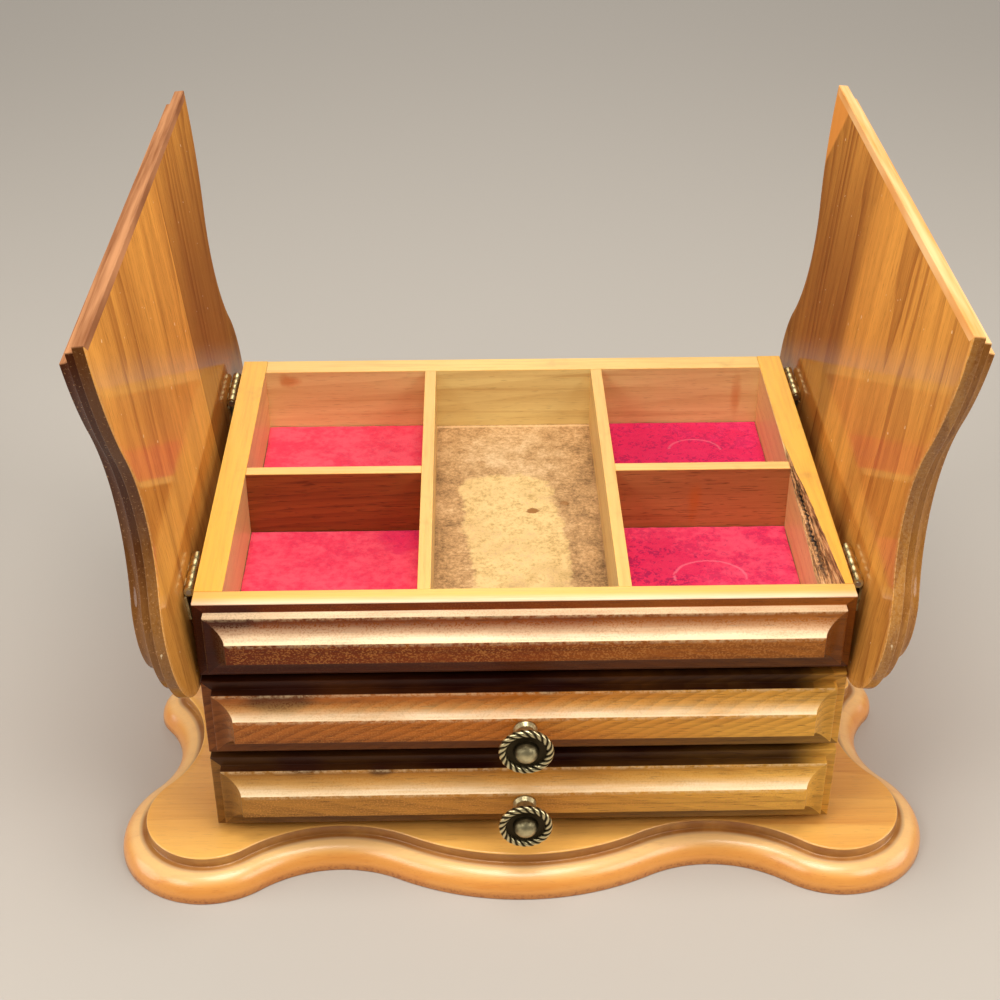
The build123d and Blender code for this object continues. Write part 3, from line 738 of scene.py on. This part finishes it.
def makeFronts():
    for name, front in fronts.items():
        low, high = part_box(f"{name}_front")
        ledge = high.y - low.y - moulding["depth"] * mm
        profile = mouldedEdge(ledge / mm)
        flat = rectangleRings((high.x - low.x) / 2, (high.z - low.z) / 2, profile[:, 0], 0.3 * mm)
        x = flat[..., 0] + (low.x + high.x) / 2
        z = flat[..., 1] + (low.z + high.z) / 2
        y = np.broadcast_to((high.y - profile[:, 1])[:, None], x.shape)
        shallow = profile - [0, ledge]
        marks = ringMarks(
            x.shape[1], rub=rubbedAndHighlit(shallow), pale=paintedSheen(shallow, front["ledge"]),
            rim=profile[:, 0] < front["stained"] * mm, field=profile[:, 0] > pastBrink * mm,
        )
        marks["side"], marks["up"] = np.tile(circle(cornerAngles), (len(profile), 1)).T
        shells = [loft(np.stack([x, y, z], axis=-1))]
        board = f"{name}_front_board"
        material = frontFinish(board.replace("_", " "), front)
        addPiece(board, front["body"], material, shells, [f"{name}_front"], marks)
    print("fronts made")


# Case

caseWood = walnut | dict(
    early=shade(250, 220, 150), late=shade(212, 164, 102), pore=shade(140, 90, 50), ringWidth=0.007,
    pores=0.25, rings=0.25, bands=0.9, streaks=0.5, fibres=0.4, base=0.25,
)
backWood = caseWood | dict(early=shade(248, 228, 156), late=shade(206, 166, 100), bands=1.3)
outerWood = walnut | dict(early=shade(196, 118, 54), late=shade(112, 54, 20))
crossWood = {
    "left": walnut | dict(early=shade(172, 98, 46), late=shade(106, 50, 20), rings=0.25, bend=0.03),
    "right": walnut | dict(early=shade(204, 138, 82), late=shade(138, 84, 42)),
}
backDrips = [(-105, 127, 6, 4, 0.6), (106, 115, 3, 14, 0.45)]  # x, z, half width, half height, strength
crossDrips = {"left": [], "right": [(76, 116, 3.5, 14, 0.5)]}
insideWood = caseWood | dict(early=shade(232, 190, 136), late=shade(200, 150, 96))
sawn = dict(depth=0.5, side=shade(252, 192, 74), back=shade(252, 206, 116), divider=shade(246, 194, 104))
sawnLooks = dict(fibres=shade(206, 136, 56), stains=shade(176, 118, 60))
drip = shade(204, 112, 30)
outside = dict(x=124, back=97, front=-82)  # beyond these the case's wood is stained as the fronts are
easedBy = dict(board=0.4 * mm, divider=0.3 * mm, hinge=0.15 * mm)  # widths of the eased edges


def sawnTop(finish, place, turned, colour, pale):
    # The upper edges are sawn and pale: the colour changes over the last half millimetre below the rim.
    x, y, z = finish.axes(place)
    top = z.eased((rim - sawn["depth"]) * mm, (rim - sawn["depth"] / 3) * mm)
    fibres = finish.noise(turned, (25, 500, 500), 3.0, 0.65).eased(0.4, 0.8)
    stains = finish.noise(place, 45, 3.0, 0.65).eased(0.58, 0.78)
    fresh = finish.mix(fibres * 0.4, pale, sawnLooks["fibres"])
    return finish.mix(top, colour, finish.mix(stains * 0.35, fresh, sawnLooks["stains"]))


def boardWood(name, wood, grainTurn, pale=None, stained=False, drips=()):
    finish = Finish(name, Roughness=0.42, Coat_Weight=0.2, Coat_Roughness=0.3, Specular_IOR_Level=0.3)
    place, turned = finish.place(), finish.place(grainTurn)
    colour, height = grain(finish, turned, wood)
    x, y, z = finish.axes(place)
    for dripX, dripZ, halfWidth, halfHeight, strength in drips:
        wander = (finish.noise(place, (120, 120, 60), 3.0, 0.6) - 0.5) * 1.6
        inDrip = (apart(x, z, (dripX, dripZ), (halfWidth, halfHeight)) + wander).eased(1.1, 0.2)
        colour = finish.mix(inDrip * strength, colour, drip)
    if stained:
        beyond = (abs(x) > outside["x"] * mm).above(y > outside["back"] * mm).above(y < outside["front"] * mm)
        colour = finish.mix(beyond, colour, grain(finish, turned, outerWood)[0])
    if pale:
        colour = sawnTop(finish, place, turned, colour, pale)
    return finish, turned, colour, height


def boardFinish(*board, **details):
    finish, turned, colour, height = boardWood(*board, **details)
    return finish.paint(Base_Color=colour, Normal=finish.bump(height, 0.00008))


def makeCase():
    along, upright = (0, 0, 90), (90, 0, 0)
    sides = boardFinish("case side wood", caseWood, along, sawn["side"], stained=True)
    dressNode("case_side_left", sides, easedBy["board"])
    back = boardFinish("case back wood", backWood, upright, sawn["back"], stained=True, drips=backDrips)
    dressNode("case_back", back, easedBy["board"])
    inner = boardFinish("inner wood", insideWood, (0, 0, 0))
    dressNode("case_bottom", inner)
    dressNode("drawer_shelf", inner)
    dividers = boardFinish("divider wood", caseWood, along, sawn["divider"])
    for side in ("left", "right"):
        dressNode(f"tray_divider_{side}", dividers, easedBy["divider"])
        name = f"cross divider wood {side}"
        cross = boardFinish(name, crossWood[side], upright, sawn["back"], drips=crossDrips[side])
        dressNode(f"tray_cross_divider_{side}", cross, easedBy["divider"])
    for drawer in ("lower", "upper"):
        for wall in ("side_left", "side_right", "back"):
            dressNode(f"{drawer}_drawer_{wall}", inner, easedBy["board"])
        dressNode(f"{drawer}_drawer_bottom", inner)
    print("case dressed")


# Right side of the case, split and torn along its upper inner edge in front of the cross divider

split = dict(
    inner=116.0, outer=127.0, foot=15.0, front=-82.5, back=100.5,
    panelGroove=(97.7, 101.7, 120.0, 93.5),  # low, high, how deep it reaches and where it stops at the back
    shelfHousing=(54.5, 60.5, 119.0, 89.5),
    # along the wall: where the sound face ends below and where the sound rim begins, against y
    stations=[-82.5, -65.0, -50.0, -35.0, -20.0, -5.0, 16.0, 24.0, 27.0],
    lower=[121.8, 122.6, 124.2, 125.8, 127.3, 128.9, 130.6, 131.2, 131.3],
    rim=[123.6, 122.4, 121.5, 120.6, 119.7, 118.2, 116.8, 116.5, 116.4],
    step=0.5, across=36,  # between the sections along y; points across the torn face
    hollow=0.18,  # of the width of the torn face
    crackDepth=2.4, crackWidth=0.11,  # the width is a share of the torn face too
    raw=[
        (0.34, shade(58, 34, 16)), (0.46, shade(150, 102, 60)),
        (0.56, shade(222, 162, 104)), (0.7, shade(248, 204, 150)),
    ],
    # deep: painted shade in the crack
    deep=shade(36, 22, 12),
)


def tornRings():
    # Cross-sections along y. The torn face runs from the sound face below (u = 0) to the rim (u = 1); each
    # point moves into the wood by hollow * sin(pi u), by splinters (noise drawn out along y) and by a crack.
    w = split
    inner, grooves = w["inner"], (w["shelfHousing"], w["panelGroove"])
    steps = round((w["stations"][-1] - w["front"]) / w["step"])
    stops = [groove[3] + past for groove in grooves for past in (0, 0.01)]
    y = np.append(np.linspace(w["front"], w["stations"][-1], steps + 1), stops + [w["back"]])[:, None]
    u = np.linspace(0, 1, w["across"])[None]

    def along(spacing, start, row, seed):
        return lattice(y / spacing + start, 0 * y + row, seed)

    lower = np.interp(y, w["stations"], w["lower"]) + (along(7, 40, 3.5, 5) - 0.5) * 1.2
    lower = np.minimum(lower, rim - 0.3)
    rimX = np.interp(y, w["stations"], w["rim"]) + (along(5, 20, 7.5, 6) - 0.5) * 0.5
    width = np.hypot(rimX - inner, rim - lower)
    torn = np.clip((width - 0.6) / 3, 0, 1)
    splinters = lattice(u * 9 + 3, y / 9 + 30, 7) + 0.5 * lattice(u * 22 + 9, y / 3 + 60, 8) - 0.75
    wander = 0.2 + 0.22 * (along(6, 30, 1.5, 9) - 0.3) + 0.05 * np.sin(y * 1.9)
    strength = np.clip((y + 78) / 25, 0, 1) * np.clip((27 - y) / 14, 0, 1)  # it dies away at both ends
    strength = strength * (0.4 + 0.6 * along(4, 30, 9.5, 10))
    crack = torn * np.exp(-(((u - wander) / w["crackWidth"]) ** 2)) * strength
    bulge = np.sin(math.pi * u)
    inward = width * w["hollow"] * bulge + torn * bulge**0.5 * splinters * 0.9
    inward = np.clip(inward + crack * w["crackDepth"], 0, 5)
    x = inner + (rimX - inner) * u + inward * (rim - lower) / width  # moved square to the face, into the wood
    z = lower + (rim - lower) * u - inward * (rimX - inner) / width
    before = [(inner, w["foot"])]
    for low, high, deep, stop in grooves:
        bottom = np.where(y <= stop, deep, inner + 0.01)  # the groove all but closes past its stop
        before += [(inner, low), (bottom, low), (bottom, high), (inner, high)]
    after = [(w["outer"] - 0.4, rim), (w["outer"], rim - 0.4), (w["outer"], w["foot"])]
    columns = [np.stack(np.broadcast_arrays(*corner, y)[:2], axis=-1) for corner in before + [(x, z)] + after]
    flat = np.concatenate(columns, axis=1)
    rings = np.stack([flat[..., 0], np.broadcast_to(y, flat.shape[:2]), flat[..., 1]], axis=-1) * mm
    tornMark, crackMark = np.zeros((2, *flat.shape[:2]))
    face = slice(len(before) + 1, len(before) + w["across"] - 1)
    tornMark[:, face] = torn
    crackMark[:, face] = crack[:, 1:-1]
    return rings, {"torn": tornMark.ravel(), "crack": crackMark.ravel()}


def makeSplitSide():
    board = boardWood("split side wood", caseWood, (0, 0, 90), sawn["side"], stained=True)
    finish, turned, colour, height = board
    torn, crack = finish.mark("torn"), finish.mark("crack")
    splinters = finish.noise(turned, (60, 900, 900), 4.0, 0.7)
    colour = finish.mix(torn.eased(0.05, 0.5), colour, finish.ramp(splinters, split["raw"]))
    # darkest in the crack: painted shade in its hollow
    colour = finish.mix(crack.eased(0.2, 0.64), colour, split["deep"])
    surface = finish.bump(height + splinters * torn * 6.0, 0.0001)
    finish.paint(Base_Color=colour, Roughness=0.42 + torn * 0.4, Normal=surface)
    rings, marks = tornRings()
    shells = [loft(rings)]
    addPiece("case_side_split", "case", finish.material, shells, ["case_side_right"], marks)
    print("split side made")


# Hardboard floor of the tray

hardboard = dict(
    dark=shade(126, 95, 60), mean=shade(202, 160, 108), light=shade(240, 206, 156),
    glue=[shade(200, 162, 98), shade(246, 212, 146)], stain=shade(150, 96, 40), line=shade(250, 214, 160),
    patchX=-3.5, patchY=22, patchHalf=21, patchDeep=23, patchSlant=-0.075,  # the glue and how it leans
    stains=[(6.7, 15.3, 3.2, 0.9), (21.2, 21.1, 2.4, 0.5)],  # x, y, half width, strength
    lineY=88.3,
)


def makeHardboard():
    h = hardboard
    finish = Finish("hardboard", Roughness=0.7, Specular_IOR_Level=0.2)
    place = finish.place()
    x, y, z = finish.axes(place)
    speckle = finish.noise(place, 560, 4.0, 0.8)
    chips = finish.noise(place, 170, 3.0, 0.65)
    cloudy = finish.noise(place, 45, 3.0, 0.6)
    # darker towards the sides and the front and lighter towards the back, with cloudy patches
    darkening = (abs(x + 2 * mm) / (34 * mm)) ** 2 * 0.16 + y.eased(30 * mm, -70 * mm) * 0.12
    darkening = darkening + (cloudy - 0.5) * 0.7
    tone = (speckle - 0.5) * 1.3 + (chips - 0.5) * 0.7 - darkening + y.eased(30 * mm, 90 * mm) * 0.08 + 0.54
    colour = finish.ramp(tone, [(0.12, h["dark"]), (0.5, h["mean"]), (0.86, h["light"])])
    centre = (y - 20 * mm) * h["patchSlant"] + h["patchX"] * mm
    ragged = (cloudy - 0.5) * 9 * mm + (chips - 0.5) * 9 * mm
    sideways = abs(x - centre + ragged) / (h["patchHalf"] * mm)
    upwards = (y - h["patchY"] * mm + ragged).above(0.0) / (h["patchDeep"] * mm)
    patch = (sideways**4 + upwards**4).eased(1.2, 0.7)
    glue = finish.mix((speckle * 0.6 + chips * 0.4).eased(0.34, 0.56), *h["glue"])
    holes = (cloudy * 0.6 + chips * 0.5 + (speckle - 0.5) * 0.9 - y * 1.5).eased(0.6, 0.75) * 0.7
    colour = finish.mix(patch * (0.9 - holes), colour, glue)
    for stainX, stainY, halfWidth, strength in h["stains"]:
        away = apart(x, y, (stainX, stainY), (halfWidth, halfWidth / 1.3)) + (speckle - 0.5) * 0.8
        colour = finish.mix(away.eased(1.0, 0.7) * strength, colour, h["stain"])
    line = abs(y - h["lineY"] * mm).eased(0.9 * mm, 0.4 * mm)
    colour = finish.mix(line * 0.6, colour, h["line"])
    finish.paint(Base_Color=colour, Normal=finish.bump(speckle, 0.00015))
    dressNode("tray_floor", finish.material)
    print("hardboard dressed")


# Velvet

velvet = dict(pile=1.2, step=0.9, wander=0.35, tuft=0.22, fade=1.5, firstSeed=10)
# light and dark colours; patch: centre and half width of a darker, more crimson part, out of reach where
# there is none; pits: how deep the worn spots are; arcs: scratches as centre, radius and strength
evenVelvet = dict(patch=(400, 0, 10), pits=0.3, arcs=[])
velvetLooks = {
    "left_front": evenVelvet | dict(light=shade(255, 86, 110), dark=shade(244, 52, 88), patch=(-46, -4, 13)),
    "left_back": evenVelvet | dict(light=shade(255, 92, 114), dark=shade(250, 62, 92), pits=0.35),
    "right_front": dict(
        light=shade(255, 80, 114), dark=shade(236, 44, 94), patch=(54, -34, 28), pits=0.85,
        arcs=[(79, -38, 15, 0.8)],
    ),
    "right_back": dict(
        light=shade(252, 60, 116), dark=shade(234, 32, 100), patch=(70, 40, 60), pits=0.7,
        arcs=[(84, 63, 12, 0.6)],
    ),
    "drawers": evenVelvet | dict(light=shade(240, 44, 90), dark=shade(220, 28, 78)),
}
velvetMarks = dict(
    sheen=shade(255, 120, 150), crimson=shade(226, 14, 84), pitted=shade(172, 4, 80),
    lint=shade(255, 196, 204), scratched=shade(255, 140, 160),
)


def velvetFinish(name, look):
    sheen = dict(Sheen_Weight=0.4, Sheen_Roughness=0.4, Sheen_Tint=velvetMarks["sheen"])
    finish = Finish(name, Roughness=0.9, **sheen)
    place = finish.place()
    x, y, z = finish.axes(place)
    nap = finish.noise(place, (70, 90, 70), 4.0, 0.65)
    mottle = finish.noise(place, 300, 3.0, 0.65)
    tufts = finish.noise(place, 1100, 3.0, 0.7)
    clumps = finish.noise(place, 520, 3.0, 0.7)
    colour = finish.mix((nap * 0.55 + mottle * 0.45).eased(0.4, 0.6), look["light"], look["dark"])
    patchX, patchY, reach = look["patch"]
    patch = (apart(x, y, (patchX, patchY), (reach, reach)) + (nap - 0.5) * 3.0).eased(1.2, 0.7)
    colour = finish.mix(patch * 0.75, colour, velvetMarks["crimson"])
    pits = (clumps + (nap - 0.5) * 0.7).eased(0.53, 0.62) * (patch * 0.6 + 0.4) * look["pits"]
    colour = finish.mix(pits, colour, velvetMarks["pitted"])
    lint = finish.cells(place, 26).eased(0.045, 0.03)
    colour = finish.mix(lint * 0.5, colour, velvetMarks["lint"])
    for arcX, arcY, radius, strength in look["arcs"]:  # the line of an ellipse, where it is behind its centre
        away = (apart(x, y, (arcX, arcY), (radius, radius / 1.25)) - 1) * radius * mm
        arc = abs(away + (nap - 0.5) * 2 * mm).eased(0.9 * mm, 0.2 * mm)
        arc = arc * (x - y * 0.6).eased(130 * mm, 112 * mm) * (y + (nap - 0.5) * 30 * mm > arcY * mm)
        colour = finish.mix(arc * strength * 0.6, colour, velvetMarks["scratched"])
    return finish.paint(Base_Color=colour, Normal=finish.bump(tufts + clumps, 0.0004))


def sheetRings(low, high, seed):
    # Cross-sections along y of a thin cloth: a flat underside, sides, and a top that wanders with the noise.
    v = velvet
    rows, columns = [max(8, round(length / (v["step"] * mm))) for length in (high.y - low.y, high.x - low.x)]
    y = np.linspace(low.y, high.y, rows + 1)[:, None]
    x = np.linspace(high.x, low.x, columns + 1)[None]
    fromEdge = np.minimum(np.minimum(x - low.x, high.x - x), np.minimum(y - low.y, high.y - y))
    fromEdge = fromEdge / (v["fade"] * mm)
    rounding, edge = np.clip(fromEdge, 0, 1) ** 0.5, np.clip(1 - fromEdge, 0, 1)
    tufts = v["tuft"] * lattice(x / mm + 200, y / mm + 200, seed)
    topZ = low.z + (v["pile"] * (0.45 + 0.55 * rounding) - tufts * rounding) * mm
    wander = (lattice(x / mm / 9 + 50, y / mm / 9 + 50, seed + 1) - 0.5) * 2 * v["wander"] * mm
    topX = x + wander * np.sign((low.x + high.x) / 2 - x) * edge * 0.5
    topY = y + np.abs(wander) * np.sign((low.y + high.y) / 2 - y) * edge
    top = np.stack([topX, topY, topZ], axis=-1)
    foot = top[:, [-1, 0]]
    foot[..., 2] = low.z
    return np.concatenate([foot[:, :1], top[:, ::-1], foot[:, 1:]], axis=1)


def makeVelvets():
    finishes = {
        name: velvetFinish(f"velvet {name}".replace("_", " "), look) for name, look in velvetLooks.items()
    }
    places = ("left_front", "left_back", "right_front", "right_back")
    sheets = [(f"tray_lining_{place}", "case", place, "tray_floor") for place in places]
    for drawer in ("lower_drawer", "upper_drawer"):
        sheets.append((f"{drawer}_lining", drawer, "drawers", f"{drawer}_bottom"))
    for index, (node, body, look, floor) in enumerate(sheets):
        low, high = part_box(node)
        rings = sheetRings(low, high, velvet["firstSeed"] + 3 * index)
        piece = addPiece(f"{node}_cloth", body, finishes[look], [loft(rings)], [node])
    print("velvet laid")


# Knobs

knob = dict(
    foot=4.8, neck=3.9, flareHeight=2.6, neckHeight=9.0, rimHeight=13.0, rimRadius=9.3, rope=1.55, strands=20,
    wraps=3, groove=0.28, hollow=7.7, hollowHeight=12.5, dome=4.8, domeRise=3.4, length=17.5, around=120,
)
brassLooks = dict(dull=shade(60, 51, 34), bright=shade(216, 202, 156))


def knobBody():
    # A turned profile (radius, height) carried round the knob's axis; its dome is part of a sphere.
    k = knob
    curve = (k["dome"] ** 2 + k["domeRise"] ** 2) / (2 * k["domeRise"])
    polar = np.linspace(math.asin(k["dome"] / curve), 0.06, 10)[1:]
    dome = [(curve * math.sin(a), k["length"] - curve + curve * math.cos(a), 0) for a in polar]
    corners = [
        (k["foot"] - 1.5, 0, 0), (k["foot"], 0, 0.3), (k["foot"], 0.9, 0.3),
        (k["neck"], k["flareHeight"], 0.8), (k["neck"], k["neckHeight"], 1.2),
        (k["rimRadius"] - 0.6, k["rimHeight"] - 1.3, 0.3),
        (k["rimRadius"], k["rimHeight"], 0.3), (k["rimRadius"] - 0.8, k["rimHeight"] + 0.5, 0.3),
        (k["hollow"], k["hollowHeight"], 0.5), (k["dome"] + 0.3, k["hollowHeight"], 0.3),
        (k["dome"], k["length"] - k["domeRise"], 0.25),
    ]
    profile = easedLine(corners + dome)
    headings = np.linspace(0, 2 * math.pi, k["around"], endpoint=False)
    return raised(profile[:, :1, None] * circle(headings), profile[:, 1])


def knobRope():
    # Ring of twisted strands: the section's radius swells and narrows with strands * heading + wraps * turn.
    k = knob
    heading = np.linspace(0, 2 * math.pi, k["strands"] * 12, endpoint=False)[None]
    turn = np.linspace(0, 2 * math.pi, 48, endpoint=False)[:, None]
    lobes = np.abs(np.cos((k["strands"] * heading + k["wraps"] * turn) / 2)) ** 0.7
    radius = k["rope"] * mm * (1 - k["groove"] * (1 - lobes))
    reach = k["rimRadius"] * mm + radius * np.cos(turn)
    points = [reach * np.cos(heading), reach * np.sin(heading), k["rimHeight"] * mm + radius * np.sin(turn)]
    return np.stack(np.broadcast_arrays(*points), axis=-1), lobes.ravel()


def makeKnobs():
    k = knob
    finish = Finish("antique brass", Metallic=1.0)
    patina = finish.noise(finish.place(), 400, 3.0, 0.6)
    bright = (finish.mark("rub") * 1.1 + (patina - 0.5) * 0.5).eased(0.35, 0.95)
    colour = finish.mix(bright, brassLooks["dull"], brassLooks["bright"])
    finish.paint(Base_Color=colour, Roughness=0.5 - bright * 0.2, Normal=finish.bump(patina, 0.00005))
    body = knobBody()
    rope, lobes = knobRope()
    radius, height = np.hypot(body[..., 0], body[..., 1]).ravel() / mm, body[..., 2].ravel() / mm
    climb = (height - k["hollowHeight"]) / (k["length"] - k["hollowHeight"])
    domed = np.clip(climb, 0, 1) * (radius < k["dome"] + 0.4) * 0.75
    neck = 0.66 * (height < k["rimHeight"] - 2)
    marks = {"rub": np.concatenate([np.maximum(domed, neck), np.clip(lobes * 1.4 - 0.5, 0, 1)])}
    for drawer in ("lower_drawer", "upper_drawer"):
        low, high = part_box(f"{drawer}_knob")
        middle = np.array([(low.x + high.x) / 2, high.y, (low.z + high.z) / 2])
        shells = [
            loft(rings[..., [0, 2, 1]] * [1, -1, 1] + middle, closed)  # the knob's axis laid out to the front
            for rings, closed in ((body, False), (rope, True))
        ]
        name = f"{drawer}_knob_turned"
        addPiece(name, drawer, finish.material, shells, [f"{drawer}_knob"], marks, crease=60)
    print("knobs made")


# Hinges and screws

metals = dict(brass=shade(240, 222, 164), tarnished=shade(176, 150, 94), steel=shade(190, 184, 170))


def makeHardware():
    finish = Finish("hinge brass", Metallic=1.0, Roughness=0.3)
    tarnish = finish.noise(finish.place(), 260, 3.0, 0.65)
    colour = finish.mix(tarnish.eased(0.35, 0.7), metals["brass"], metals["tarnished"])
    finish.paint(Base_Color=colour, Normal=finish.bump(tarnish, 0.00005))
    steel = Finish("steel pin", Metallic=1.0, Roughness=0.35, Base_Color=metals["steel"]).material
    brass = finish.material
    for side in ("left", "right"):
        for place in ("front", "back"):
            for part, material in (("case_leaf", brass), ("lid_leaf", brass), ("pin", steel)):
                dressNode(f"hinge_{side}_{place}_{part}", material, easedBy["hinge"])
        dressNode(f"lid_{side}_hinge_screws", brass)
    dressNode("case_hinge_screws", brass)
    for screws in ("base_screws", "lower_drawer_knob_screw", "upper_drawer_knob_screw"):
        dressNode(screws, steel)
    print("hardware dressed")


def makeFloor():
    finish = Finish("pale floor", Roughness=0.7, Base_Color=(*studio["floorColour"], 1))
    x, y, z = finish.axes(finish.place())
    seen = finish.value("ShaderNodeLightPath", {}, {}, "Is Camera Ray")
    far = ((x * x + y * y) ** 0.5).eased(0.7, 2.2) * seen  # the distant floor passes into the backdrop
    glow = finish.node("ShaderNodeEmission", {}, {"Color": (*studio["backdrop"], 1)})
    blend = finish.node("ShaderNodeMixShader", {}, {0: far, 1: finish.shader.outputs[0], 2: glow.outputs[0]})
    finish.feed(finish.output.inputs["Surface"], blend.outputs[0])
    mesh = bpy.data.meshes.new("floor")
    reach = studio["floorReach"]
    corners = [(-reach, -reach, 0), (reach, -reach, 0), (reach, reach, 0), (-reach, reach, 0)]
    mesh.from_pydata(corners, [], [range(4)])
    mesh.materials.append(finish.material)
    floor = bpy.data.objects.new("floor", mesh)
    bpy.context.scene.collection.objects.link(floor)


setCamera()
setLamps()
makeFloor()
makeBase()
makeLid("left")
makeLid("right")
makeFronts()
makeCase()
makeSplitSide()
makeHardboard()
makeVelvets()
makeKnobs()
makeHardware()

bpy.context.view_layer.update()
